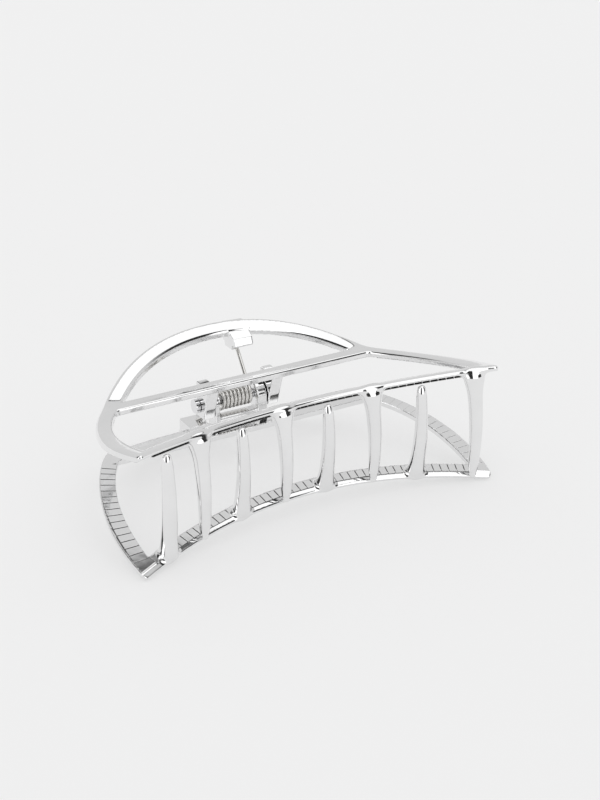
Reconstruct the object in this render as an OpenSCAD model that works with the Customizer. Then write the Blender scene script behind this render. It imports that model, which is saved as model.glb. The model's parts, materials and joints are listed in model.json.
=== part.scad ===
// Metal hair claw clip: two openwork jaws, eight interleaved teeth, one hinge pin and one torsion spring.
// X runs along the hinge, Y from the teeth to the levers and Z up, with the clip lying on its lower jaw.
// The origin is under the middle of the clip, on the surface that it lies on.

/* [Jaws] */
// Length of the clip between the two front corners
clip_length = 100; // [94:1:106]
// Depth of a jaw from its front corners to the top of its lever
jaw_depth = 63.8; // [62:0.2:66]
// Height of the front corners and of the lever's top above the plane between the jaws
jaw_height = 16.4; // [15.6:0.1:17]
// Height of the waist, where the crossbar is, above the plane between the jaws
waist_height = 7.8; // [7.6:0.1:8]
// Width of the bands that a jaw is made of
band_width = 4; // [3.6:0.1:4.4]
// Thickness of the bands
band_thickness = 1.9; // [1.6:0.1:2.2]
// How far the front bar bows back at its middle
front_bow = 11.8; // [10:0.2:13]
// Rounding of the two front corners
corner_radius = 1.4; // [1:0.1:1.8]

/* [Outline] */
// How far behind the front corners the half-moon outline is widest
widest_at = 10.5; // [9:0.5:12]
// Exponent of the half-moon outline, where 2 is an ellipse
outline_power = 2.1; // [2:0.05:2.3]
// How hollow the claw's slope is, where 1 is straight
claw_hollow = 1.43; // [1.2:0.01:1.6]

/* [Crossbar] */
// Distance from the front corners to the middle of the crossbar
crossbar_at = 43.3; // [42.8:0.1:43.6]
// Width of the crossbar
crossbar_width = 4.2; // [3.8:0.1:4.4]

/* [Teeth] */
// Distance between neighbouring teeth of the closed clip
tooth_pitch = 12.5; // [12:0.1:12.8]
// Width of a tooth at its root
tooth_width = 3.7; // [3.2:0.1:4]
// Depth of a tooth at its root, front to back
tooth_depth = 3.6; // [3:0.1:3.6]
// Distance from the middle to the tooth at the right end of the upper jaw
upper_end_tooth = 44.7; // [43:0.1:44.8]
// Distance from the middle to the tooth at the left end of the lower jaw
lower_end_tooth = 41.8; // [41:0.1:44]
// Width of a tooth's tip as a share of its root
tip_share = 0.66; // [0.5:0.01:0.7]
// How far a tooth bulges forward between its root and tip
tooth_bulge = 1.3; // [0.8:0.1:1.6]
// Gap between a tooth's tip and the other jaw
tip_gap = 0.35; // [0.3:0.05:0.6]

/* [Hinge] */
// Distance from the front corners to the hinge axis
hinge_at = 48.4; // [48.2:0.1:48.6]
// Diameter of the hinge pin
pin_diameter = 2.4; // [2.2:0.1:2.6]
// Radial clearance of the pin in the upper jaw's ears
pin_clearance = 0.05; // [0.03:0.01:0.08]
// Diameter of the pin's two formed heads
head_diameter = 3.8; // [3.4:0.1:4.2]
// Thickness of each head
head_thickness = 1.1; // [0.8:0.1:1.4]
// Radius of an ear's round end
ear_radius = 3.1; // [2.8:0.1:3.2]
// Distance from the clip's middle to the inner face of each upper ear
upper_ear_at = 8; // [8:0.1:8.4]
// Thickness of each upper ear
upper_ear_thickness = 3.3; // [2.8:0.1:3.6]
// Distance from the clip's middle to the inner face of the left lower ear
lower_left_ear_at = 6.5; // [6.4:0.1:6.8]
// Distance from the clip's middle to the inner face of the right lower ear
lower_right_ear_at = 5; // [5:0.1:5.2]
// Gap between neighbouring ears of the two jaws
ear_gap = 0.2; // [0.2:0.05:0.4]

/* [Spring] */
// Diameter of the spring wire
wire_diameter = 1; // [0.9:0.05:1.1]
// Outer diameter of the coil
coil_diameter = 5.3; // [5.1:0.1:5.4]
// Length of the coil between the middles of its end turns
coil_length = 8.3; // [8:0.1:8.4]
// How far the coil's middle lies left of the clip's middle
coil_offset = 0.55; // [0.5:0.05:0.7]
// Whole turns of the coil, before the part turn between its legs
coil_turns = 7; // [5:1:7]
// Angle of each leg above the plane between the jaws
leg_angle = 34.6; // [34:0.1:35]
// Distance behind the hinge that each leg reaches
leg_reach = 12.2; // [12:0.1:12.4]

/* [Spring blocks] */
// Width of the block that holds a leg
block_width = 5.8; // [5.4:0.1:6.2]
// Distance from the clip's middle to the middle of a block
block_offset = 6.4; // [6.2:0.1:6.6]
// Distance from the front corners to a block's front face
block_front = 57.6; // [57.4:0.1:57.8]
// Level of the upper block's under side above the plane between the jaws
block_under = 10.2; // [10:0.1:10.4]
// Height of a block
block_height = 4.6; // [4.2:0.1:4.8]

/* [Hidden] */

half_length = clip_length / 2;
// Half axes of the half-moon outline, from its exponent and the corner that it passes through
arc_depth = jaw_depth - widest_at;
arc_half = half_length / pow(1 - pow(widest_at / arc_depth, outline_power), 1 / outline_power);
arc_start = -asin(pow(widest_at / arc_depth, outline_power / 2));
crossbar_front = crossbar_at - crossbar_width / 2;
crossbar_back = crossbar_at + crossbar_width / 2;
crossbar_under = waist_height - band_thickness;
// The claw's slope ends and the lever's begins at the bend, just behind the crossbar
bend_at = crossbar_back + 0.1;
bend_blend = 1.5;
bend_level = waist_height - 0.25;
// How far the cutting shapes reach past the jaw
margin = 2;
arc_steps = 56;
profile_steps = 28;
// Rounding circle of the right front corner, between the directions of the front bar and of the rail
corner_along_bar = unit([-1, 2 * front_bow / half_length]);
corner_along_rail = unit(arc_point(arc_start + 4) - arc_point(arc_start));
corner_bisector = unit(corner_along_bar + corner_along_rail);
corner_half_angle = acos(corner_along_bar * corner_along_rail) / 2;
corner_centre = [half_length, 0] + corner_bisector * corner_radius / sin(corner_half_angle);
// The origin lies under the middle of the clip's box
front_most = corner_centre.y - corner_radius;
middle_y = (front_most + jaw_depth) / 2;
// A tooth's root stands this far in front of the bar, and its tip leans this far forward
tooth_ahead = 0.4;
tooth_lean = 0.3;
// The taper grows towards the tip, whose last stretch is rounded off
tooth_taper = 1.6;
tip_round_from = 0.9;
tip_round = 0.6;
tooth_steps = 9;
tooth_sides = 14;
pin_radius = pin_diameter / 2;
// Gap between an upper ear and the pin's head
head_gap = 0.15;
// An ear's plate starts inside its round end, where it is this wide each way, and ends inside the crossbar
ear_neck = 0.9 * ear_radius;
ear_neck_level = -0.1 * ear_radius;
ear_setback = 1.2;
ear_top = waist_height - 1.2;
bridge_level = ear_radius + 0.35;
bridge_depth = 2.9;
bridge_thickness = 0.9;
block_depth = 4.6;
// Room round the spring's leg in the block's slot
slot_room = 0.6;
leg_x = block_offset - 0.1;
slot_x = leg_x - 0.3;
slot_depth = 3.6;
slot_wall = 0.5;
slot_height = 2.4;
// Lip that hangs from the block's under side beside the slot
lip_width = 1.3;
lip_height = 1.2;
lip_setback = 0.4;
coil_radius = (coil_diameter - wire_diameter) / 2;
leg_level = coil_radius / cos(leg_angle) + leg_reach * tan(leg_angle);
// The coil's wire leaves for a leg where the circle's direction is the leg's
leave_angle = leg_angle + 90;
coil_sweep = 360 * coil_turns + 360 - 2 * leave_angle;
wire_sides = 8;
turn_steps = 16;
coil_steps = round(coil_sweep / 360 * turn_steps);
$fn = 48;

// ---- outline of a jaw seen from above ----

function unit(v) = v / norm(v);

function signed_power(v, p) = sign(v) * pow(abs(v), p);

// Point of the half-moon outline at angle a
function arc_point(a) = [
    arc_half * signed_power(cos(a), 2 / outline_power),
    widest_at + arc_depth * signed_power(sin(a), 2 / outline_power)
];

// The same point moved inwards by d, square to the outline
function inset_point(a, d) =
    let (
        p = arc_point(a),
        step = arc_point(min(a + 0.5, 180 - arc_start)) - arc_point(max(a - 0.5, arc_start)),
        side = unit([-step.y, step.x])
    )
    p + d * side;

function arc_angle(i) = arc_start + (180 - 2 * arc_start) * i / arc_steps;

// Front edge of the jaw at x
function front_y(x) = front_bow * (1 - pow(x / half_length, 2));

function front_x(i) = half_length * (2 * i / arc_steps - 1);

module front_strip(width) {
    polygon([
        for (i = [0 : arc_steps]) [front_x(i), front_y(front_x(i))],
        for (i = [arc_steps : -1 : 0]) [front_x(i) * (1 + margin / half_length), front_y(front_x(i)) + width]
    ]);
}

// What the round of a front corner takes away: the corner's kite outside the rounding circle
module corner_waste() {
    cut = corner_radius / tan(corner_half_angle);
    difference() {
        polygon([
            [half_length, 0] + corner_along_bar * cut,
            [half_length, 0] - corner_bisector * corner_radius,
            [half_length, 0] + corner_along_rail * cut,
            corner_centre
        ]);
        translate(corner_centre) circle(corner_radius);
    }
}

module jaw_plan() {
    difference() {
        polygon([
            for (i = [0 : arc_steps]) arc_point(arc_angle(i)),
            for (i = [1 : arc_steps - 1]) [front_x(i), front_y(front_x(i))]
        ]);
        corner_waste();
        mirror([1, 0]) corner_waste();
    }
}

// Everything inside the half-moon band
module inside_band() {
    polygon([
        for (i = [0 : arc_steps]) inset_point(arc_angle(i), band_width)
    ]);
}

module half_moon_band() {
    difference() {
        jaw_plan();
        inside_band();
        front_strip(band_width);
    }
}

// ---- side view of a jaw ----

// Distance behind the bend, rounded off about the bend itself
function past_bend(y) = 0.5 * (y - bend_at + norm([y - bend_at, bend_blend]));

// Height of the outer surface at y: a hollow slope to the waist, then a straight lever
function outer_z(y) =
    bend_level + (jaw_height - bend_level) * (
        pow(max(0, (bend_at - y) / (bend_at - front_most)), claw_hollow)
        + past_bend(y) / past_bend(jaw_depth)
    );

function outer_slope(y) = (outer_z(y + 0.1) - outer_z(y - 0.1)) / 0.2;

// Point of the inner surface under the outer surface at y
function inner_point(y) = [y, outer_z(y)] + band_thickness * unit([outer_slope(y), -1]);

function profile_y(i) = -margin + (jaw_depth + 2 * margin) * i / profile_steps;

module jaw_profile() {
    polygon([
        for (i = [0 : profile_steps]) [profile_y(i), outer_z(profile_y(i))],
        for (i = [profile_steps : -1 : 0]) inner_point(profile_y(i))
    ]);
}

// Extrudes a side view, drawn in Y and Z, along X between two values
module along_x(from, to) {
    translate([from, 0, 0]) rotate([90, 0, 90]) linear_extrude(to - from) children();
}

// Gives an outline seen from above the jaw's side view
module bent_sheet() {
    intersection() {
        linear_extrude(2 * jaw_height) children();
        along_x(-half_length - margin, half_length + margin) jaw_profile();
    }
}

// ---- placing ----

module upper_jaw() {
    translate([0, -middle_y, jaw_height]) children();
}

// The lower jaw is the upper one turned half a turn about the front-to-back axis
module lower_jaw() {
    translate([0, -middle_y, jaw_height]) rotate([0, 180, 0]) children();
}

// ---- pieces that both jaws have ----

module front_bar() {
    bent_sheet() intersection() {
        jaw_plan();
        front_strip(band_width);
    }
}

// One side of the band in front of the crossbar's back edge; side is -1 or 1
module rail(side) {
    mirror([side > 0 ? 1 : 0, 0, 0]) bent_sheet() intersection() {
        half_moon_band();
        translate([-half_length - margin, 0]) square([half_length, crossbar_back]);
    }
}

module lever_bow() {
    bent_sheet() intersection() {
        half_moon_band();
        translate([-half_length, crossbar_back]) square([clip_length, jaw_depth]);
    }
}

module crossbar() {
    translate([0, 0, crossbar_under]) linear_extrude(band_thickness) intersection() {
        inside_band();
        translate([-half_length, crossbar_front]) square([clip_length, crossbar_width]);
    }
}

// Width share of a tooth along its length: full at the root, slimmer and rounded off at the tip
function tooth_share(t) =
    let (past_round = max(0, t - tip_round_from) / (1 - tip_round_from))
    (1 - (1 - tip_share) * pow(t, tooth_taper)) * sqrt(1 - pow(past_round, 2) * tip_round);

// Tapered, bowed tooth from inside the front bar at x to just short of the other jaw's bar
module tooth(number, end_tooth) {
    x = number == 4 ? end_tooth : (number * 2 - 4.5) * tooth_pitch;
    root_y = front_y(x) + tooth_depth / 2 - tooth_ahead;
    root_z = outer_z(root_y) - band_thickness / 2;
    tip_y = root_y - tooth_lean;
    other_face = inner_point(tip_y);
    slope = outer_slope(tip_y);
    points = [
        for (s = [0 : tooth_steps], k = [0 : tooth_sides - 1])
        let (
            t = s / tooth_steps,
            share = tooth_share(t),
            a = 360 * k / tooth_sides,
            centre_y = root_y - tooth_bulge * sin(180 * t) - tooth_lean * t,
            y = centre_y + tooth_depth / 2 * share * sin(a),
            tip_z = tip_gap - other_face[1] - slope * (y - other_face[0])
        )
        [x + tooth_width / 2 * share * cos(a), y, root_z + (tip_z - root_z) * t]
    ];
    last = tooth_steps * tooth_sides;
    difference() {
        polyhedron(points, [
            [for (k = [tooth_sides - 1 : -1 : 0]) k],
            for (s = [0 : tooth_steps - 1], k = [0 : tooth_sides - 1])
                let (
                    here = s * tooth_sides,
                    above = here + tooth_sides,
                    next = (k + 1) % tooth_sides
                )
                [here + k, here + next, above + next, above + k],
            [for (k = [0 : tooth_sides - 1]) last + k]
        ]);
        front_bar();
    }
}

// Ear: a plate from the crossbar down to a round end about the hinge; side is -1 or 1
module ear(side, inner_face, thickness, bore_radius) {
    mirror([side > 0 ? 0 : 1, 0, 0]) difference() {
        union() {
            translate([inner_face, hinge_at, 0]) rotate([0, 90, 0]) cylinder(h = thickness, r = ear_radius);
            along_x(inner_face, inner_face + thickness) polygon([
                [hinge_at - ear_neck, ear_neck_level],
                [crossbar_front + ear_setback, crossbar_under],
                [crossbar_back, crossbar_under],
                [crossbar_back, ear_top],
                [hinge_at + ear_radius - 1, ear_top],
                [hinge_at + ear_neck, ear_neck_level]
            ]);
        }
        translate([inner_face - margin, hinge_at, 0]) rotate([0, 90, 0])
            cylinder(h = thickness + 2 * margin, r = bore_radius);
    }
}

// Block inside the lever's bow, with a slot in its under side for the spring's leg and a lip beside it
module spring_block() {
    left = block_offset - block_width / 2;
    difference() {
        union() {
            translate([left, block_front, block_under]) cube([block_width, block_depth, block_height]);
            translate([left, block_front + lip_setback, block_under - lip_height])
                cube([lip_width, band_width - 1, lip_height]);
        }
        bent_sheet() half_moon_band();
        translate([slot_x - wire_diameter / 2 - slot_room, block_front + slot_wall, block_under - 1])
            cube([wire_diameter + 2 * slot_room, slot_depth, slot_height + 1]);
    }
}

// ---- spring ----

// End of the upper leg, where side is 1, or of the lower one, where it is -1
function leg_end(side) =
    [side * leg_x, hinge_at + leg_reach, side * leg_level];

// The wire's centre line: upper leg, coil from right to left, lower leg
wire_path = [
    leg_end(1),
    for (i = [0 : coil_steps])
        let (a = leave_angle + coil_sweep * i / coil_steps)
        [
            coil_length * (0.5 - i / coil_steps) - coil_offset,
            hinge_at + coil_radius * cos(a),
            coil_radius * sin(a)
        ],
    leg_end(-1)
];

// Point k of the wire's surface round point i of its centre line
function wire_point(i, k) =
    let (
        last = len(wire_path) - 1,
        along = wire_path[min(i + 1, last)] - wire_path[max(i - 1, 0)],
        out = unit(cross(along, [1, 0, 0])),
        across = unit(cross(along, out)),
        a = 360 * k / wire_sides
    )
    wire_path[i] + wire_diameter / 2 * (cos(a) * out + sin(a) * across);

module wire() {
    rings = len(wire_path);
    polyhedron(
        [for (i = [0 : rings - 1], k = [0 : wire_sides - 1]) wire_point(i, k)],
        [
            [for (k = [wire_sides - 1 : -1 : 0]) k],
            for (i = [0 : rings - 2], k = [0 : wire_sides - 1])
                let (
                    here = i * wire_sides,
                    there = here + wire_sides,
                    next = (k + 1) % wire_sides
                )
                [here + k, here + next, there + next, there + k],
            [for (k = [0 : wire_sides - 1]) (rings - 1) * wire_sides + k]
        ]
    );
}

// ---- the pieces ----

module upper_front_bar() color("silver") upper_jaw() front_bar();
module upper_left_rail() color("silver") upper_jaw() rail(-1);
module upper_right_rail() color("silver") upper_jaw() rail(1);
module upper_lever_bow() color("silver") upper_jaw() lever_bow();
module upper_crossbar() color("silver") upper_jaw() crossbar();
module upper_tooth(number) color("silver") upper_jaw() tooth(number, upper_end_tooth);
module upper_ear(side)
    color("silver") upper_jaw() ear(side, upper_ear_at, upper_ear_thickness, pin_radius + pin_clearance);
module upper_spring_block() color("silver") upper_jaw() spring_block();

module lower_front_bar() color("gainsboro") lower_jaw() front_bar();
module lower_left_rail() color("gainsboro") lower_jaw() rail(1);
module lower_right_rail() color("gainsboro") lower_jaw() rail(-1);
module lower_lever_bow() color("gainsboro") lower_jaw() lever_bow();
module lower_crossbar() color("gainsboro") lower_jaw() crossbar();
module lower_tooth(number) color("gainsboro") lower_jaw() tooth(5 - number, lower_end_tooth);
// A lower ear reaches out to the upper ear beside it
module lower_ear(side, inner_face)
    color("gainsboro") lower_jaw()
        ear(-side, inner_face, upper_ear_at - ear_gap - inner_face, pin_radius);
module lower_spring_block() color("gainsboro") lower_jaw() spring_block();

// Thin bridge under the coil that ties the two lower ears together
module lower_ear_bridge() {
    color("gainsboro") lower_jaw()
        translate([-lower_right_ear_at, hinge_at - ear_radius, bridge_level])
            cube([lower_right_ear_at + lower_left_ear_at, bridge_depth, bridge_thickness]);
}

module hinge_pin() {
    pin_half = upper_ear_at + upper_ear_thickness + head_gap;
    color("lightgray") upper_jaw() translate([0, hinge_at, 0]) rotate([0, 90, 0]) {
        cylinder(h = 2 * pin_half, r = pin_radius, center = true);
        for (side = [-1, 1])
            translate([0, 0, side * (pin_half + head_thickness / 2)])
                cylinder(h = head_thickness, d = head_diameter, center = true);
    }
}

module torsion_spring() color("darkgray") upper_jaw() wire();

upper_front_bar();
upper_left_rail();
upper_right_rail();
upper_lever_bow();
upper_crossbar();
upper_tooth(1);  // upper_tooth_1
upper_tooth(2);  // upper_tooth_2
upper_tooth(3);  // upper_tooth_3
upper_tooth(4);  // upper_tooth_4
upper_ear(-1);  // upper_left_ear
upper_ear(1);  // upper_right_ear
upper_spring_block();
lower_front_bar();
lower_left_rail();
lower_right_rail();
lower_lever_bow();
lower_crossbar();
lower_tooth(1);  // lower_tooth_1
lower_tooth(2);  // lower_tooth_2
lower_tooth(3);  // lower_tooth_3
lower_tooth(4);  // lower_tooth_4
lower_ear(-1, lower_left_ear_at);  // lower_left_ear
lower_ear(1, lower_right_ear_at);  // lower_right_ear
lower_ear_bridge();
lower_spring_block();
hinge_pin();
torsion_spring();
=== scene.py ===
import json
import math

import bmesh
import bpy
import numpy as np
from mathutils import Matrix, Vector


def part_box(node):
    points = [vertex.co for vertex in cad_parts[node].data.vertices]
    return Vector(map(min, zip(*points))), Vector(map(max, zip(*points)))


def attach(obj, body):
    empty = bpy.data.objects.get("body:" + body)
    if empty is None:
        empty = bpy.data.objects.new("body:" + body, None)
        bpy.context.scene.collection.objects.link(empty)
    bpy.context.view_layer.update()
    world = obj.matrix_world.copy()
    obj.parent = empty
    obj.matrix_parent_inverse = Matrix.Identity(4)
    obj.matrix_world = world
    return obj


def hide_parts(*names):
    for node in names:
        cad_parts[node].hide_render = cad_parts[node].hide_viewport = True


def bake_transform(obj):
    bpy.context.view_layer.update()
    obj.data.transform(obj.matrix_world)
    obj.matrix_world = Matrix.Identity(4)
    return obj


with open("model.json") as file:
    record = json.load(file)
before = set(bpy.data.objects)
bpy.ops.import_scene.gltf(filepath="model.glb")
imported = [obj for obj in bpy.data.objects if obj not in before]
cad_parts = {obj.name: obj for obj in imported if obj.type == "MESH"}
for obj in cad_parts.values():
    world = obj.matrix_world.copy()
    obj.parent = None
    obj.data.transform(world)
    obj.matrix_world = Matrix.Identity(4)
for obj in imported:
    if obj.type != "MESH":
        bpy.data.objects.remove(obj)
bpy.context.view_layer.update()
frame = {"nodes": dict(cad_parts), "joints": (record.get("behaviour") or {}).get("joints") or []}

MM = 0.001

# ---- sizes in millimetres ----
# The jaws are worked out in a jaw frame: x along the hinge, y behind the front corners, z above the
# plane between the jaws. The lower jaw is the upper one turned half a turn about y.

# Outline of a jaw, seen from above
HINGE_AT = 48.4
HALF_LENGTH = 50.0
BAND_WIDTH = 4.0
FRONT_BOW = 11.8
WIDEST_AT = 10.5
OUTLINE_POWER = 2.1
OUTLINE_STEPS = 4
CORNER_RADIUS = 1.4
PLAN_FILLET = 0.9
SIDE_SWELL = 0.5
SWELL_AT = WIDEST_AT + 3
SWELL_LENGTH = 13
SWELL_STARTS = 30
SWELL_RAMP = 15

# Side view of a jaw: a hollow claw, a bend at the crossbar, a straight lever
CLAW_HOLLOW = 1.43
BEND_BLEND = 1.5
BEND_DROP = 0.25
BEND_BEHIND = 0.1
LEVER_RAMP = 6
CLAW_CROWN = 0.25
LEVER_CROWN = 0.06
FLAT_ENDS = 39
FLAT_RAMP = 3

# Rounding of the band's edges, and the bevel along the front edge of the inner face
LEVER_EDGE = 1.3
CLAW_EDGE = 0.7
WINDOW_EDGE = 0.6
INNER_EDGE = 0.15
BEVEL_WIDTH = 1.2
BEVEL_TILT = math.radians(60)
BEVEL_EDGE = 0.2

# Teeth; a length along a tooth is a share of it, from 0 at the root to 1 at the tip
TOOTH_HALF_WIDTH = 2.0
TOOTH_HALF_DEPTH = 1.8
TOOTH_AHEAD = 0.4
TOOTH_BULGE = 1.3
TOOTH_REACH = 6
TOOTH_FILLET = 1.6
TIP_SHARE = 0.66
TAPER_POWER = 1.6
TIP_GAP = 0.3
TIP_ROUND = 0.12
TIP_NARROWING = 0.5
ABOVE_ROOT = -0.2
FLARE_LENGTH = 0.14
DEPTH_FLARE = 0.5
ROOT_SINK = 0.15
ROOT_EDGE = 2.8
# Each jaw's own tooth: widening at the root, lean of the tip, reach past the other inner face, tip rounding
UPPER_HORN = (1.2, 2.1, 0.3, 0.35)
LOWER_HORN = (0.4, 1.2, -0.3, 0.7)

# Ears about the hinge pin
PIN_RADIUS = 1.2
PIN_CLEARANCE = 0.05
THICK_EAR = 3
WEB_SETBACK = 1.2
LOWER_WEB_SETBACK = 2.2
WEB_BEHIND = 4.0
WEB_FOOT = 0.3
WEB_BELOW = 1.2
PLATE_EDGE = 0.3
KNUCKLE_FILLET = 0.8
EAR_FILLET = 0.7
BRIDGE_EDGE = 0.3
BRIDGE_FILLET = 0.6

# Where the members at the hinge can be: half lengths along x, lowest y and highest z
HINGE_HALF_LENGTH = 15
EARS_FROM = 38
BLOCK_FROM = 54
BRIDGE_HALF_LENGTH = 12
BRIDGE_FROM = 40
BRIDGE_BELOW = 8

# The block that holds a spring leg, with its tab
BLOCK_DRAFT = math.radians(20)
BLOCK_AHEAD = 1.6
BLOCK_SHIFT = 0.6
BLOCK_LIP = 1.2
BLOCK_BEHIND = 1
BLOCK_ABOVE = 2
BLOCK_EDGE = 0.4
BLOCK_SINK = 0.5
FACE_EDGE = 0.25
TAB_WIDTH = 1.3
TAB_SETBACK = 0.4
TAB_RISE = 2
TAB_EDGE = 0.35
TAB_FILLET = 0.3
BLOCK_FILLET = 0.5

# Scored lands on the inner faces. Each ring of a land is its inset and its height above the casting, and
# the faces from one ring to the next are its walls up to the number WALLS.
BAR_PITCH = 2.1
RAIL_PITCH = 2.3
FLAT_WITHIN = 0.05
LAND_GAP = 0.2
LAND_HEIGHT = 0.12
LAND_INSET = 0.15
FRONT_INSET = 1.2
LINE_END = 4.0
LINE_START = 1
GROUND_MARGIN = 1
RAIL_POINTS = 400
BAR_POINTS = 600
POINTS_ALONG = 4
POINTS_ACROSS = 6
LAND_RINGS = ((0.0, -0.05), (0.01, LAND_HEIGHT - 0.03), (0.03, LAND_HEIGHT), (0.1, LAND_HEIGHT))
# On the dark rows, the walls up to WALLS get a dark chrome: painted shade in the gaps between lands
WALLS = 2

# Spring
COIL_DIAMETER = 5.3
COIL_LENGTH = 8.3
COIL_OFFSET = 0.55
COIL_TURNS = 7
POINTS_PER_TURN = 40
LEG_POINTS = 15
WIRE_SIDES = 16
ALMOST_X = (1.0, 0.02, 0.01)
WIRE_DIAMETER = 1.0
LEG_ANGLE = 34.6
LEG_REACH = 12.2

# Meshing: the size of a cell, and the room left round a jaw
CELL = 0.27
CELLS_PER_BLOCK = 4
NEAR_BLOCKS = 1.35
CHUNK = 400000
FAR = 9.0
MOVES = 4
LEAST_SLOPE = 0.2
FRONT_ROOM = 3.5
TIP_ROOM = 15.5
MARGIN = 1

hinge_place = Vector(frame["joints"][0]["pos_m"])


def jaw_box(node):
    """Lowest and highest corner of a CAD node in the upper jaw's frame, in millimetres."""
    low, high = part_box(node)
    shift = np.array([0, HINGE_AT, 0])
    return (np.array(low - hinge_place) / MM + shift, np.array(high - hinge_place) / MM + shift)


def row_points(points, lower):
    """Points of a jaw's own frame in the row frame, in metres."""
    p = np.array(points, float) - [0, HINGE_AT, 0]
    if lower:
        p = p * [-1, 1, -1]
    return p * MM + np.array(hinge_place)


arc_half = jaw_box("upper_right_rail")[1][0]
jaw_depth = jaw_box("upper_lever_bow")[1][1]
jaw_height = jaw_box("upper_lever_bow")[1][2]
front_most = jaw_box("upper_front_bar")[0][1]
crossbar_low, crossbar_high = jaw_box("upper_crossbar")
waist_height = crossbar_high[2]
band_thickness = waist_height - crossbar_low[2]
arc_depth = jaw_depth - WIDEST_AT
bend_at = crossbar_high[1] + BEND_BEHIND
bend_level = waist_height - BEND_DROP


# ---- the jaw as a distance field ----

def round_max(a, b, r):
    """Intersection of two distance fields, its edge rounded to the radius r."""
    return np.minimum(np.maximum(a, b), -r) + np.hypot(np.maximum(a + r, 0), np.maximum(b + r, 0))


def smooth_min(a, b, k):
    """Union of two distance fields with a fillet about k wide between them."""
    h = np.maximum(k - np.abs(a - b), 0) / k
    return np.minimum(a, b) - h * h * k / 4


def past_bend(y):
    """Distance behind the bend, eased to 0 ahead of it."""
    return 0.5 * (y - bend_at + np.hypot(y - bend_at, BEND_BLEND))


def outer_z(y):
    """Level of the outer surface at y: a hollow slope to the waist, then the straight lever."""
    claw = np.maximum(0, (bend_at - y) / (bend_at - front_most)) ** CLAW_HOLLOW
    return bend_level + (jaw_height - bend_level) * (claw + past_bend(y) / past_bend(jaw_depth))


def outer_slope(y, step=0.05):
    return (outer_z(y + step) - outer_z(y - step)) / (2 * step)


def front_y(x):
    """The bowed front edge of a jaw."""
    return FRONT_BOW * (1 - (x / HALF_LENGTH) ** 2)


def outline_distance(x, y):
    """Distance outside the half-moon outline, by walking to it along the gradient."""
    px, py = x, y
    side = None
    for _ in range(OUTLINE_STEPS):
        u, v = px / arc_half, (py - WIDEST_AT) / arc_depth
        total = np.maximum(np.abs(u) ** OUTLINE_POWER + np.abs(v) ** OUTLINE_POWER, 1e-3)
        value = total ** (1 / OUTLINE_POWER) - 1
        scale = total ** (1 / OUTLINE_POWER - 1)
        gx = scale * np.abs(u) ** (OUTLINE_POWER - 1) * np.sign(u) / arc_half
        gy = scale * np.abs(v) ** (OUTLINE_POWER - 1) * np.sign(v) / arc_depth
        step = value / np.maximum(gx * gx + gy * gy, 1e-9)
        side = np.sign(value) if side is None else side
        px, py = px - step * gx, py - step * gy
    return side * np.hypot(px - x, py - y)


def plan_distance(x, y):
    """Distance outside the jaw's outline seen from above: band, front bar and crossbar."""
    swell = SIDE_SWELL * np.exp(-(((y - SWELL_AT) / SWELL_LENGTH) ** 2))
    swell = swell * np.clip((np.abs(x) - SWELL_STARTS) / SWELL_RAMP, 0, 1)
    outside = outline_distance(x, y) - swell
    rise = y - front_y(x)
    tilt = np.hypot(1, 2 * FRONT_BOW * x / HALF_LENGTH ** 2)
    band = np.maximum(outside, -BAND_WIDTH - swell - outside)
    bar = np.maximum(-rise, rise - BAND_WIDTH) / tilt
    cross_middle = (crossbar_low[1] + crossbar_high[1]) / 2
    crossbar = np.abs(y - cross_middle) - (crossbar_high[1] - crossbar_low[1]) / 2
    inside = smooth_min(smooth_min(band, bar, PLAN_FILLET), crossbar, PLAN_FILLET)
    plan = np.maximum(inside, round_max(outside, -rise / tilt, CORNER_RADIUS))
    return plan, crossbar, outside


def sheet_depth(y, z):
    """Depth below the outer surface."""
    return (outer_z(y) - z) / np.hypot(1, outer_slope(y))


def frame_distance(x, y, z):
    """Front bar, half-moon band and crossbar, bent as one sheet with a crowned outer face."""
    plan, crossbar, outside = plan_distance(x, y)
    depth = sheet_depth(y, z)
    flat = np.clip(0.5 - crossbar, 0, 1) * np.clip((FLAT_ENDS - np.abs(x)) / FLAT_RAMP, 0, 1)
    lever = np.clip((y - bend_at) / LEVER_RAMP, 0, 1)
    crown = (CLAW_CROWN + (LEVER_CROWN - CLAW_CROWN) * lever) * (1 - flat)
    crown = crown * np.clip(1 + 2 * plan / BAND_WIDTH, 0, 1) ** 2
    near_outline = np.clip(1.5 + outside / 2, 0, 1)
    outline_edge = CLAW_EDGE + (LEVER_EDGE - CLAW_EDGE) * lever
    edge = WINDOW_EDGE + (outline_edge - WINDOW_EDGE) * near_outline * near_outline
    domed = round_max(plan, crown - depth, edge)
    band = round_max(domed, depth - band_thickness + LAND_HEIGHT, INNER_EDGE)
    bevel = (front_y(x) + BEVEL_WIDTH - y) * math.cos(BEVEL_TILT)
    bevel = bevel + (depth - band_thickness + LAND_HEIGHT) * math.sin(BEVEL_TILT)
    return round_max(band, bevel, BEVEL_EDGE), depth


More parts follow.
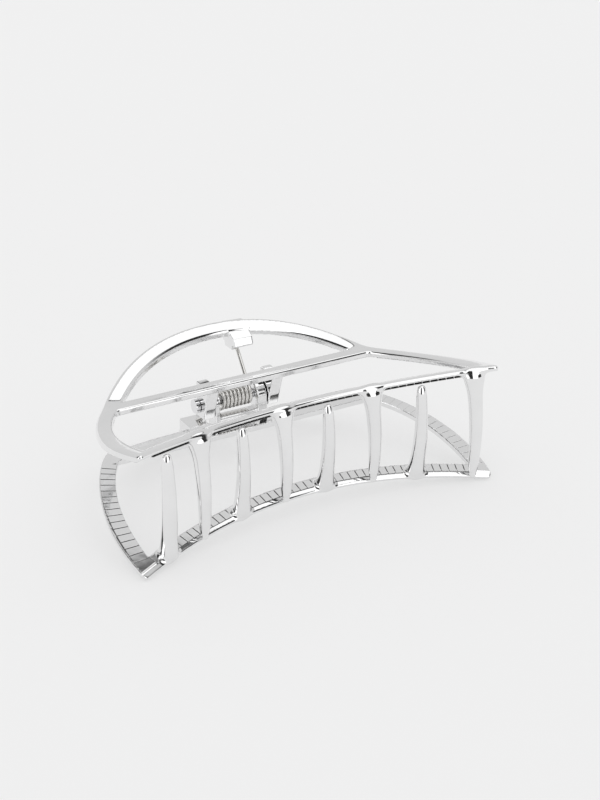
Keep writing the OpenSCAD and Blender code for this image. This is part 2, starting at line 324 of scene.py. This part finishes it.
def tooth_distance(x, y, z, depth, place):
    """One tooth: an elliptical horn that bows forward from a flared root and ends along the other jaw."""
    x0, root_y, root_z, tip_z, (root_flare, lean, drop, tip_edge) = place
    t = np.clip((root_z - z) / (root_z - tip_z), ABOVE_ROOT, 1)
    down = np.maximum(t, 0)
    share = 1 - (1 - TIP_SHARE) * down ** TAPER_POWER
    share = share * np.sqrt(1 - TIP_NARROWING * np.clip((t - 1 + TIP_ROUND) / TIP_ROUND, 0, 1) ** 2)
    centre_y = root_y - TOOTH_BULGE * np.sin(np.pi * down) - lean * t
    flare = np.exp(-((down / FLARE_LENGTH) ** 2))
    rx = TOOTH_HALF_WIDTH * share + root_flare * flare
    ry = TOOTH_HALF_DEPTH * share + DEPTH_FLARE * flare
    dx, dy = (x - x0) / rx, (y - centre_y) / ry
    rho = np.maximum(np.hypot(dx, dy), 1e-4)
    side = (rho - 1) * rho / np.hypot(dx / rx, dy / ry)
    clear = np.minimum(band_thickness + TIP_GAP - sheet_depth(y, -z), y - front_y(x) + TIP_GAP)
    end = band_thickness - drop - sheet_depth(y, -z)
    horn = round_max(side, np.maximum(clear, end), tip_edge)
    return round_max(horn, -ROOT_SINK - depth, ROOT_EDGE)


def plate_distance(x, low_x, high_x, section):
    """A plate across x between two values whose outline is a distance in y and z."""
    slab = np.abs(x - (low_x + high_x) / 2) - (high_x - low_x) / 2
    return round_max(slab, section, PLATE_EDGE)


def ear_distance(x, y, z, low_x, high_x, radius, bore, web_back):
    """An ear: a plate from the crossbar down to the hinge; a thin one has a round knuckle."""
    y0, y1 = crossbar_low[1] + WEB_SETBACK + web_back, crossbar_high[1] + WEB_BEHIND
    thick = high_x - low_x > THICK_EAR
    foot = radius if thick else WEB_FOOT
    fall = (crossbar_low[2] + foot) / (HINGE_AT - radius - y0)
    front = (y0 - y + (crossbar_low[2] - z) / fall) / math.hypot(1, 1 / fall)
    back = y - np.where(z > -WEB_FOOT, y1, HINGE_AT + radius) if thick else y - y1
    top = z - (waist_height - WEB_BELOW)
    section = np.maximum(np.maximum(front, back), np.maximum(top, -z - foot))
    if not thick:
        section = smooth_min(section, np.hypot(y - HINGE_AT, z) - radius, KNUCKLE_FILLET)
    section = np.maximum(section, bore - np.hypot(y - HINGE_AT, z))
    return plate_distance(x, low_x, high_x, section)


def box_distance(x, y, z, low, high, r):
    """A box with rounded edges."""
    parts = [np.abs(c - (a + b) / 2) - (b - a) / 2 + r for c, a, b in zip((x, y, z), low, high)]
    outside = np.sqrt(sum(np.maximum(p, 0) ** 2 for p in parts))
    return outside + np.minimum(np.maximum(np.maximum(parts[0], parts[1]), parts[2]), 0) - r


def own_box(node, lower):
    """A CAD node's box in its own jaw's frame."""
    low, high = jaw_box(node)
    if lower:
        turned = np.array([low * [-1, 1, -1], high * [-1, 1, -1]])
        low, high = turned.min(0), turned.max(0)
    return low, high


def jaw_places(lower):
    """A jaw's teeth, ears, spring block and bridge as the CAD nodes place them; the upper has no bridge."""
    side = "lower" if lower else "upper"
    teeth = []
    for number in range(1, 5):
        low, high = own_box(f"{side}_tooth_{number}", lower)
        x0 = (low[0] + high[0]) / 2
        root_y = front_y(x0) + TOOTH_HALF_DEPTH - TOOTH_AHEAD
        root_z = outer_z(root_y) - band_thickness / 2
        teeth.append((x0, root_y, root_z, low[2], LOWER_HORN if lower else UPPER_HORN))
    ears = [own_box(f"{side}_{hand}_ear", lower) for hand in ("left", "right")]
    block = own_box(f"{side}_spring_block", lower)
    bridge = own_box("lower_ear_bridge", True) if lower else None
    return teeth, ears, block, bridge


def block_distance(x, y, z, depth, low, high):
    """The block for a spring leg: a drafted front face, a tab below, and a top that follows the lever."""
    lip = low[2] + BLOCK_LIP
    front = low[1] - BLOCK_AHEAD
    far_corner = (high[0], high[1] + BLOCK_BEHIND, high[2] + BLOCK_ABOVE)
    solid = box_distance(x, y, z, (low[0], front, lip), far_corner, BLOCK_EDGE)
    tab_low = (low[0], low[1] + TAB_SETBACK, low[2])
    tab_high = (low[0] + TAB_WIDTH, high[1], lip + TAB_RISE)
    tab = box_distance(x, y, z, tab_low, tab_high, TAB_EDGE)
    face = (front - y) * math.cos(BLOCK_DRAFT) + (z - lip) * math.sin(BLOCK_DRAFT)
    both = smooth_min(round_max(solid, face, FACE_EDGE), tab, TAB_FILLET)
    return np.maximum(both, BLOCK_SINK - depth)


def jaw_distance(points, places, pin_radius):
    """A whole jaw; each small member is worked out only where it is near."""
    x, y, z = points[:, 0], points[:, 1], points[:, 2]
    teeth, ears, block, bridge = places
    casting, depth = frame_distance(x, y, z)

    def join(near, member, fillet, *sizes):
        added = member(x[near], y[near], z[near], *sizes)
        casting[near] = smooth_min(casting[near], added, fillet)

    for place in teeth:
        near = (np.abs(x - place[0]) < TOOTH_REACH) & (y < place[1] + TOOTH_REACH)
        join(near, tooth_distance, TOOTH_FILLET, depth[near], place)
    web_back = 0 if bridge is None else LOWER_WEB_SETBACK
    at_hinge = np.abs(x) < HINGE_HALF_LENGTH
    for low, high in ears:
        near = at_hinge & (y > EARS_FROM)
        join(near, ear_distance, EAR_FILLET, low[0], high[0], -low[2], pin_radius, web_back)
    shift = [BLOCK_SHIFT, 0, 0]
    near = at_hinge & (y > BLOCK_FROM)
    join(near, block_distance, BLOCK_FILLET, depth[near], block[0] + shift, block[1] + shift)
    if bridge is not None:
        near = (np.abs(x) < BRIDGE_HALF_LENGTH) & (y > BRIDGE_FROM) & (z < BRIDGE_BELOW)
        join(near, box_distance, BRIDGE_FILLET, *bridge, BRIDGE_EDGE)
    return casting


# ---- meshing a distance field ----

def gradient(distance, points, step=0.01):
    """The field's slope along x, y and z."""
    g = np.empty_like(points)
    for axis in range(3):
        shift = np.zeros(3)
        shift[axis] = step
        g[:, axis] = distance(points + shift) - distance(points - shift)
    return g / (2 * step)


def sample_field(distance, low, high, cell):
    """The field on a grid, worked out only in blocks near the surface, and the grid's first point."""
    coarse = cell * CELLS_PER_BLOCK
    counts = np.ceil((np.array(high) - low) / coarse).astype(int) + 1
    axes = [low[a] + coarse * (np.arange(counts[a]) + 0.5) for a in range(3)]
    centres = np.stack(np.meshgrid(*axes, indexing="ij"), -1).reshape(-1, 3)
    middle = distance(centres).reshape(counts)
    block = (CELLS_PER_BLOCK,) * 3
    field = np.kron(np.where(middle < 0, -FAR, FAR), np.ones(block)).astype(np.float32)
    index = np.argwhere(np.kron(np.abs(middle) < coarse * NEAR_BLOCKS, np.ones(block, bool)))
    origin = np.array(low) + cell / 2
    values = np.empty(len(index), np.float32)
    for start in range(0, len(index), CHUNK):
        values[start:start + CHUNK] = distance(origin + index[start:start + CHUNK] * cell)
    field[tuple(index.T)] = values
    return field, origin


def surface_net(distance, low, high, cell):
    """Quads along the zero surface: one point per cell that the surface crosses, then moved onto it."""
    field, origin = sample_field(distance, low, high, cell)
    inside = field < 0
    shape = field.shape
    sums = np.zeros((np.prod(shape), 3))
    hits = np.zeros(np.prod(shape))
    quads = []
    strides = np.array([shape[1] * shape[2], shape[2], 1])
    for axis in range(3):
        head = [slice(None)] * 3
        tail = [slice(None)] * 3
        head[axis], tail[axis] = slice(0, -1), slice(1, None)
        crossing = np.argwhere(inside[tuple(head)] != inside[tuple(tail)])
        b, c = (axis + 1) % 3, (axis + 2) % 3
        crossing = crossing[(crossing[:, b] > 0) & (crossing[:, c] > 0)]
        ahead = crossing.copy()
        ahead[:, axis] += 1
        f0, f1 = field[tuple(crossing.T)], field[tuple(ahead.T)]
        place = crossing.astype(float)
        place[:, axis] += f0 / (f0 - f1)
        corners = []
        for db, dc in ((0, 0), (1, 0), (1, 1), (0, 1)):
            owner = crossing.copy()
            owner[:, b] -= db
            owner[:, c] -= dc
            cell_number = owner @ strides
            corners.append(cell_number)
            for a in range(3):
                sums[:, a] += np.bincount(cell_number, place[:, a], len(hits))
            hits += np.bincount(cell_number, minlength=len(hits))
        quad = np.stack(corners, 1)
        flip = f0 > 0
        quad[flip] = quad[flip][:, ::-1]
        quads.append(quad)
    used, quads = np.unique(np.concatenate(quads), return_inverse=True)
    points = origin + sums[used] / hits[used][:, None] * cell
    for _ in range(MOVES):
        g = gradient(distance, points)
        size = np.maximum((g * g).sum(1), LEAST_SLOPE)
        move = -(distance(points) / size)[:, None] * g
        points = points + np.clip(move, -cell, cell)
    return points, quads.reshape(-1, 4), gradient(distance, points)


def mesh_object(name, points, faces, normals=None):
    """A smooth mesh object, with its own normals where they are given."""
    mesh = bpy.data.meshes.new(name)
    mesh.from_pydata([tuple(p) for p in points], [], [tuple(int(i) for i in f) for f in faces])
    mesh.validate()
    mesh.polygons.foreach_set("use_smooth", [True] * len(mesh.polygons))
    if normals is not None:
        mesh.normals_split_custom_set_from_vertices([tuple(n) for n in normals])
    mesh.update()
    obj = bpy.data.objects.new(name, mesh)
    bpy.context.scene.collection.objects.link(obj)
    return obj


def painted_shade_under_lands(x, y, z, lower):
    """True for points of the inner face that lie under the lands, where painted shade darkens the gaps
    between them.
    """
    plan, depth = plan_distance(x, y)[0], sheet_depth(y, z)
    rise = y - front_y(x)
    flat = np.abs(depth - band_thickness + LAND_HEIGHT) < FLAT_WITHIN
    in_bar = (rise < BAND_WIDTH - LAND_INSET) & (rise > FRONT_INSET + CELL)
    in_bar &= np.abs(x) < HALF_LENGTH - LINE_END - BAR_PITCH / 2
    in_rail = (y > front_most + LINE_END + RAIL_PITCH / 2) & (y < crossbar_low[1] - GROUND_MARGIN)
    in_rail &= rise > BAND_WIDTH
    in_rail &= x > 0 if lower else x < 0
    return flat & (plan < -LAND_INSET - CELL) & (in_bar | in_rail)


def casting(name, lower, bore):
    """A jaw's casting as one mesh, with the ground under its lands marked for painted shade."""
    places = jaw_places(lower)

    def distance(points):
        return jaw_distance(np.asarray(points, float), places, bore)

    low = (-arc_half - MARGIN, -FRONT_ROOM, -TIP_ROOM)
    high = (arc_half + MARGIN, jaw_depth + MARGIN, jaw_height + MARGIN)
    points, faces, normals = surface_net(distance, low, high, CELL)
    normals = normals / np.linalg.norm(normals, axis=1)[:, None]
    if lower:
        normals = normals * [-1, 1, -1]
    obj = mesh_object(name, row_points(points, lower), faces, normals)
    # The material paints the marked ground dark: painted shade in the gaps between lands.
    painted_shade = obj.data.attributes.new("painted_shade", "FLOAT", "POINT")
    painted_shade.data.foreach_set("value", painted_shade_under_lands(*points.T, lower).astype(np.float32))
    return obj


# ---- the scored lands on a jaw's inner faces ----

def inner_surface(x, y, height):
    """Points that height millimetres off the casting's inner face, over the plan points x, y."""
    slope = outer_slope(y)
    drop = band_thickness - LAND_HEIGHT + height
    size = np.hypot(1, slope)
    return np.stack([x, y + drop * slope / size, outer_z(y) - drop / size], -1)


def directions(line):
    """Unit directions along a line of points."""
    along_line = np.gradient(line, axis=0)
    return along_line / np.linalg.norm(along_line, axis=1)[:, None]


def rail_line(side):
    """Plan points down the middle of one rail, from the crossbar to the front corner."""
    y = np.linspace(crossbar_low[1] + LINE_START, front_most + LINE_END, RAIL_POINTS)
    share = 1 - (np.abs(y - WIDEST_AT) / arc_depth) ** OUTLINE_POWER
    x = arc_half * share ** (1 / OUTLINE_POWER)
    outline = np.stack([side * x, y], -1)
    along_line = directions(outline)
    inward = np.stack([along_line[:, 1], -along_line[:, 0]], -1) * side
    return outline + inward * BAND_WIDTH / 2, inward


def bar_line():
    """Plan points along the middle of the front bar, from corner to corner."""
    x = np.linspace(LINE_END - HALF_LENGTH, HALF_LENGTH - LINE_END, BAR_POINTS)
    line = np.stack([x, front_y(x) + BAND_WIDTH / 2], -1)
    along_line = directions(line)
    return line, np.stack([-along_line[:, 1], along_line[:, 0]], -1)


def land_ring(start, end, inner, outer, inset):
    """One ring round a land, as places along and across its line."""
    at = np.linspace(start + inset, end - inset, POINTS_ALONG)
    wide = np.linspace(inner + inset, outer - inset, POINTS_ACROSS)
    ring = [(a, wide[0]) for a in at] + [(at[-1], w) for w in wide[1:]]
    return ring + [(a, wide[-1]) for a in at[-2::-1]] + [(at[0], w) for w in wide[-2:0:-1]]


def land_row(line, across, pitch, front_inset, dark):
    """Raised lands along one line, with narrow gaps between them: points, faces, and which faces get
    painted shade.
    """
    length = np.concatenate([[0], np.cumsum(np.linalg.norm(np.diff(line, axis=0), axis=1))])
    count = int(length[-1] / pitch)
    first = (length[-1] - count * pitch) / 2
    inner, outer = front_inset - BAND_WIDTH / 2, BAND_WIDTH / 2 - LAND_INSET
    points, faces, walls = [], [], []
    for number in range(count):
        start = first + number * pitch + LAND_GAP / 2
        base = len(points)
        for inset, height in LAND_RINGS:
            ring = land_ring(start, start + pitch - LAND_GAP, inner, outer, inset)
            size = len(ring)
            for a, w in ring:
                middle = [np.interp(a, length, line[:, k]) for k in (0, 1)]
                side = [np.interp(a, length, across[:, k]) for k in (0, 1)]
                x, y = middle[0] + side[0] * w, middle[1] + side[1] * w
                points.append(inner_surface(np.array(x), np.array(y), height))
        for ring_number in range(len(LAND_RINGS) - 1):
            for k in range(size):
                a, b = base + ring_number * size + k, base + ring_number * size + (k + 1) % size
                faces.append((a, b, b + size, a + size))
                walls.append(dark and ring_number < WALLS)
        faces.append(tuple(base + (len(LAND_RINGS) - 1) * size + k for k in range(size)))
        walls.append(False)
    return points, faces, walls


def lands(name, lower):
    """All the scored lands of a jaw. The gaps of its shaded rail and of its front bar have dark walls:
    painted shade.
    """
    points, faces, walls = [], [], []
    rows = [
        (*rail_line(-1), RAIL_PITCH, LAND_INSET, not lower),
        (*rail_line(1), RAIL_PITCH, LAND_INSET, lower),
        (*bar_line(), BAR_PITCH, FRONT_INSET, True),
    ]
    for row in rows:
        more, quads, dark = land_row(*row)
        faces += [tuple(i + len(points) for i in f) for f in quads]
        points += more
        walls += dark
    obj = mesh_object(name, row_points(points, lower), faces)
    obj.data.materials.append(CHROME)
    obj.data.materials.append(PAINTED_SHADE_CHROME)
    obj.data.polygons.foreach_set("material_index", np.array(walls, np.int32))
    mesh = bmesh.new()
    mesh.from_mesh(obj.data)
    bmesh.ops.recalc_face_normals(mesh, faces=mesh.faces)
    mesh.to_mesh(obj.data)
    mesh.free()
    return obj


# ---- the spring ----

def spring_path():
    """The wire's centre line: upper leg, coil from right to left, lower leg."""
    leg_x = jaw_box("torsion_spring")[1][0] - WIRE_DIAMETER / 2
    angle = math.radians(LEG_ANGLE)
    radius = (COIL_DIAMETER - WIRE_DIAMETER) / 2
    leg_z = radius / math.cos(angle) + LEG_REACH * math.tan(angle)
    leave = angle + math.pi / 2
    sweep = 2 * math.pi * (COIL_TURNS + 1) - 2 * leave
    share = np.linspace(0, 1, COIL_TURNS * POINTS_PER_TURN + 1)
    turns = leave + sweep * share
    coil_x = COIL_LENGTH * (0.5 - share) - COIL_OFFSET
    coil = np.stack([coil_x, radius * np.cos(turns), radius * np.sin(turns)], -1)
    legs = []
    for side, start in ((1, coil[0]), (-1, coil[-1])):
        end = np.array([side * leg_x, LEG_REACH, side * leg_z])
        share = np.linspace(0, 1, LEG_POINTS)[1:, None]
        legs.append(start + (end - start) * share)
    path = np.concatenate([legs[0][::-1], coil, legs[1]])
    return path + [0, HINGE_AT, 0]


def tube(name, path, radius, sides):
    """A round wire along a path, its ends closed flat."""
    along_path = directions(path)
    out = np.cross(along_path, ALMOST_X)
    out /= np.linalg.norm(out, axis=1)[:, None]
    across = np.cross(along_path, out)
    turn = np.linspace(0, 2 * math.pi, sides, endpoint=False)
    ring = np.cos(turn)[None, :, None] * out[:, None] + np.sin(turn)[None, :, None] * across[:, None]
    points = (path[:, None] + radius * ring).reshape(-1, 3)
    faces = []
    for i in range(len(path) - 1):
        for k in range(sides):
            a, b = i * sides + k, i * sides + (k + 1) % sides
            faces.append((a, b, b + sides, a + sides))
    faces.append(tuple(range(sides))[::-1])
    faces.append(tuple(range((len(path) - 1) * sides, len(path) * sides)))
    return mesh_object(name, row_points(points, False), faces)


# ---- materials ----

CHROME_COLOUR = (0.87, 0.87, 0.872)
PIN_COLOUR = (0.85, 0.85, 0.86)
WIRE_COLOUR = (0.72, 0.71, 0.69)
# Painted shade: the dark colour of the gaps between the scored lands, on their walls and on the ground
# under them
PAINTED_SHADE_COLOUR = (0.12, 0.12, 0.12)

# A finish is its lowest and highest roughness and the strength of its waves.
CHROME_FINISH = (0.05, 0.1, 0.12)
PIN_FINISH = (0.08, 0.16, 0.1)
WIRE_FINISH = (0.16, 0.26, 0.2)
PAINTED_SHADE_FINISH = (0.3, 0.4, 0.1)
PATCH_SCALE = 120
PATCH_DETAIL = 4
PATCH_DARKER = 0.96
PATCH_RANGE = (0.3, 0.7)
WAVE_SCALE = 260
WAVE_DETAIL = 1
WAVE_HEIGHT = 0.0002


def new_material(name, colour, metallic, roughness):
    """A material with its nodes, its links and its shader."""
    material = bpy.data.materials.new(name)
    material.use_nodes = True
    shader = material.node_tree.nodes["Principled BSDF"]
    shader.inputs["Base Color"].default_value = (*colour, 1)
    shader.inputs["Metallic"].default_value = metallic
    shader.inputs["Roughness"].default_value = roughness
    return material, material.node_tree.nodes, material.node_tree.links, shader


def noise(nodes, links, scale, detail):
    """Noise in the object's own coordinates, from 0 to 1."""
    place = nodes.new("ShaderNodeTexCoord")
    texture = nodes.new("ShaderNodeTexNoise")
    texture.inputs["Scale"].default_value = scale
    texture.inputs["Detail"].default_value = detail
    links.new(place.outputs["Object"], texture.inputs["Vector"])
    return texture.outputs["Fac"]


def ramp(nodes, links, source, stops):
    """A colour that follows a value through some stops."""
    node = nodes.new("ShaderNodeValToRGB")
    elements = node.color_ramp.elements
    for element, (place, colour) in zip(elements, stops):
        element.position = place
        element.color = (*colour, 1)
    links.new(source, node.inputs["Fac"])
    return node.outputs["Color"]


def chrome(name, colour, finish, paints_groove_shade=False):
    """Plated metal: uneven polish, faint patches, shallow waves, and painted shade where the mesh marks the
    gaps between lands.
    """
    rough_low, rough_high, wave = finish
    material, nodes, links, shader = new_material(name, colour, 1.0, rough_low)
    patches = noise(nodes, links, PATCH_SCALE, PATCH_DETAIL)
    spread = nodes.new("ShaderNodeMapRange")
    spread.inputs["To Min"].default_value = rough_low
    spread.inputs["To Max"].default_value = rough_high
    links.new(patches, spread.inputs["Value"])
    links.new(spread.outputs["Result"], shader.inputs["Roughness"])
    darker = [c * PATCH_DARKER for c in colour]
    surface = ramp(nodes, links, patches, zip(PATCH_RANGE, (colour, darker)))
    # Painted shade: the marked ground between the scored lands is mixed to the dark colour
    if paints_groove_shade:
        painted_shade = nodes.new("ShaderNodeAttribute")
        painted_shade.attribute_name = "painted_shade"
        mix = nodes.new("ShaderNodeMix")
        mix.data_type = "RGBA"
        mix.inputs["B"].default_value = (*PAINTED_SHADE_COLOUR, 1)
        links.new(painted_shade.outputs["Fac"], mix.inputs["Factor"])
        links.new(surface, mix.inputs["A"])
        surface = mix.outputs["Result"]
    links.new(surface, shader.inputs["Base Color"])
    bump = nodes.new("ShaderNodeBump")
    bump.inputs["Strength"].default_value = wave
    bump.inputs["Distance"].default_value = WAVE_HEIGHT
    links.new(noise(nodes, links, WAVE_SCALE, WAVE_DETAIL), bump.inputs["Height"])
    links.new(bump.outputs["Normal"], shader.inputs["Normal"])
    return material


# The dark groove chrome and the dark ground of the cast chrome are painted shade in the gaps between lands
PAINTED_SHADE_CHROME = chrome("groove_shade", PAINTED_SHADE_COLOUR, PAINTED_SHADE_FINISH)
CAST_CHROME = chrome("cast_chrome", CHROME_COLOUR, CHROME_FINISH, paints_groove_shade=True)
CHROME = chrome("polished_chrome", CHROME_COLOUR, CHROME_FINISH)
PIN_CHROME = chrome("pin_chrome", PIN_COLOUR, PIN_FINISH)
WIRE = chrome("nickel_wire", WIRE_COLOUR, WIRE_FINISH)

# ---- pieces ----

for side in ("upper", "lower"):
    is_lower = side == "lower"
    jaw = casting(f"{side}_casting", is_lower, PIN_RADIUS if is_lower else PIN_RADIUS + PIN_CLEARANCE)
    jaw.data.materials.append(CAST_CHROME)
    scored = lands(f"{side}_scored_lands", is_lower)
    for piece in (jaw, scored):
        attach(piece, f"{side}_jaw")
    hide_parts(*[n for n in frame["nodes"] if n.startswith(side)])

spring = tube("spring_wire", spring_path(), WIRE_DIAMETER / 2, WIRE_SIDES)
spring.data.materials.append(WIRE)
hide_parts("torsion_spring")
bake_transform(spring)

pin = frame["nodes"]["hinge_pin"]
pin.data.materials.clear()
pin.data.materials.append(PIN_CHROME)

# ---- floor, light and camera ----

# The floor is pale paper; part of its brightness is its own, so that shadows on it stay light.
FLOOR_HALF_SIZE = 10.0
PAPER_COLOUR = (0.4, 0.4, 0.401)
PAPER_ROUGHNESS = 0.9
PAPER_SHINE = 0.1
PAPER_GLOW = 0.465

# The studio that the metal reflects. An azimuth of 0 is +Y and 90 is +X. A pair is where a part of the
# studio starts and where it is full; each is a dot product with the direction that the part lies in.
BACKDROP_AZIMUTH = 40
BACKDROP_FADE = (0.0, 0.35)
BACKDROP_TOP = (0.88, 0.85)
RIGHT_BOX_AZIMUTH = 172
LEFT_BOX_AZIMUTH = 250
BOX_FADE = (0.93, 0.95)
WALL_AZIMUTH = 275
WALL_FADE = (0.5, 0.7)
WALL_TOP = (0.35, 0.25)
LAMP_DIRECTION = (0.2, -0.1, 1)
CEILING_FADE = (0.88, 0.9)

# Brightness of the studio's parts, and of the even daylight that all other rays meet
ROOM = 0.03
WALL = 0.55
BACKDROP = 0.72
SOFT_BOX = 1.6
CEILING = 1.2
DAYLIGHT = 1.0

# The camera's angles in degrees, its distance and aim in millimetres, its lens and sensor
AZIMUTH = 30.875
ELEVATION = 25.037
ROLL = 0.34
DISTANCE = 348.474
AIM_RIGHT = 7.51
AIM_UP = 16.8
LENS = 43.23
SENSOR = 24.0
CLIP = (0.01, 20)


def add_floor():
    size = FLOOR_HALF_SIZE
    corners = [(-size, -size, 0), (size, -size, 0), (size, size, 0), (-size, size, 0)]
    mesh = bpy.data.meshes.new("floor")
    mesh.from_pydata(corners, [], [(0, 1, 2, 3)])
    floor = bpy.data.objects.new("floor", mesh)
    bpy.context.scene.collection.objects.link(floor)
    material, _, _, shader = new_material("paper", PAPER_COLOUR, 0.0, PAPER_ROUGHNESS)
    shader.inputs["Emission Color"].default_value = (1, 1, 1, 1)
    shader.inputs["Emission Strength"].default_value = PAPER_GLOW
    shader.inputs["Specular IOR Level"].default_value = PAPER_SHINE
    mesh.materials.append(material)


def math_node(nodes, links, operation, *sources):
    """The result of one operation on two sockets."""
    node = nodes.new("ShaderNodeMath")
    node.operation = operation
    for socket, source in zip(node.inputs, sources):
        links.new(source, socket)
    return node.outputs[0]


def fade(nodes, links, source, start, end):
    """From 0 where source is at start to 1 where it is at end, and smooth in between."""
    node = nodes.new("ShaderNodeMapRange")
    node.interpolation_type = "SMOOTHSTEP"
    node.inputs["From Min"].default_value = start
    node.inputs["From Max"].default_value = end
    links.new(source, node.inputs["Value"])
    return node.outputs["Result"]


def blend_values(nodes, links, share, low, high):
    """From low where share is 0 to high where it is 1; each is a number or a socket."""
    node = nodes.new("ShaderNodeMapRange")
    for socket, source in (("Value", share), ("To Min", low), ("To Max", high)):
        if isinstance(source, (int, float)):
            node.inputs[socket].default_value = source
        else:
            links.new(source, node.inputs[socket])
    return node.outputs["Result"]


def along(nodes, links, direction):
    """The dot product of the world's direction and a fixed one."""
    place = nodes.new("ShaderNodeTexCoord")
    node = nodes.new("ShaderNodeVectorMath")
    node.operation = "DOT_PRODUCT"
    node.inputs[1].default_value = direction
    links.new(place.outputs["Generated"], node.inputs[0])
    return node.outputs["Value"]


def compass(nodes, links, azimuth):
    """How far the world's level direction points towards an azimuth, from -1 to 1; 0 is +Y and 90 is +X."""
    place = nodes.new("ShaderNodeTexCoord")
    level = nodes.new("ShaderNodeVectorMath")
    level.operation = "MULTIPLY"
    level.inputs[1].default_value = (1, 1, 0)
    links.new(place.outputs["Generated"], level.inputs[0])
    unit = nodes.new("ShaderNodeVectorMath")
    unit.operation = "NORMALIZE"
    links.new(level.outputs["Vector"], unit.inputs[0])
    dot = nodes.new("ShaderNodeVectorMath")
    dot.operation = "DOT_PRODUCT"
    turn = math.radians(azimuth)
    dot.inputs[1].default_value = (math.sin(turn), math.cos(turn), 0)
    links.new(unit.outputs["Vector"], dot.inputs[0])
    return dot.outputs["Value"]


def add_world():
    """A ceiling, a backdrop, a side wall and two soft boxes in a dark room, seen only in reflections."""
    world = bpy.data.worlds.new("studio")
    bpy.context.scene.world = world
    world.use_nodes = True
    nodes, links = world.node_tree.nodes, world.node_tree.links
    height = along(nodes, links, (0, 0, 1))
    towards_lamp = along(nodes, links, LAMP_DIRECTION)

    def facing(azimuth, limits):
        return fade(nodes, links, compass(nodes, links, azimuth), *limits)

    backdrop_top = fade(nodes, links, towards_lamp, *BACKDROP_TOP)
    backdrop = math_node(nodes, links, "MULTIPLY", facing(BACKDROP_AZIMUTH, BACKDROP_FADE), backdrop_top)
    boxes = [facing(azimuth, BOX_FADE) for azimuth in (RIGHT_BOX_AZIMUTH, LEFT_BOX_AZIMUTH)]
    wall_top = fade(nodes, links, height, *WALL_TOP)
    wall = math_node(nodes, links, "MULTIPLY", facing(WALL_AZIMUTH, WALL_FADE), wall_top)
    level = blend_values(nodes, links, wall, ROOM, WALL)
    level = blend_values(nodes, links, backdrop, level, BACKDROP)
    level = blend_values(nodes, links, math_node(nodes, links, "ADD", *boxes), level, SOFT_BOX)
    level = blend_values(nodes, links, fade(nodes, links, towards_lamp, *CEILING_FADE), level, CEILING)
    seen = nodes.new("ShaderNodeLightPath")
    level = blend_values(nodes, links, seen.outputs["Is Glossy Ray"], DAYLIGHT, level)
    links.new(level, nodes["Background"].inputs["Color"])
    nodes["Background"].inputs["Strength"].default_value = 1.0


def add_camera():
    """Camera at the front left, aimed a little above and left of the middle between the front corners."""
    azimuth, elevation, roll = (math.radians(v) for v in (AZIMUTH, ELEVATION, ROLL))
    forward = Vector((
        math.sin(azimuth) * math.cos(elevation),
        math.cos(azimuth) * math.cos(elevation),
        -math.sin(elevation),
    ))
    level = Vector((math.cos(azimuth), -math.sin(azimuth), 0))
    upright = level.cross(forward)
    right = math.cos(roll) * level + math.sin(roll) * upright
    up = -math.sin(roll) * level + math.cos(roll) * upright
    aim = up * AIM_UP - right * AIM_RIGHT
    place = aim - forward * DISTANCE
    data = bpy.data.cameras.new("camera")
    data.sensor_fit = "VERTICAL"
    data.sensor_height = SENSOR
    data.lens = LENS
    data.clip_start, data.clip_end = CLIP
    camera = bpy.data.objects.new("camera", data)
    bpy.context.scene.collection.objects.link(camera)
    rotation = Matrix((right, up, -forward)).transposed()
    where = Vector(row_points([place], False)[0])
    camera.matrix_world = Matrix.Translation(where) @ rotation.to_4x4()
    bpy.context.scene.camera = camera


add_floor()
add_world()
add_camera()
bpy.context.scene.view_settings.view_transform = "Standard"
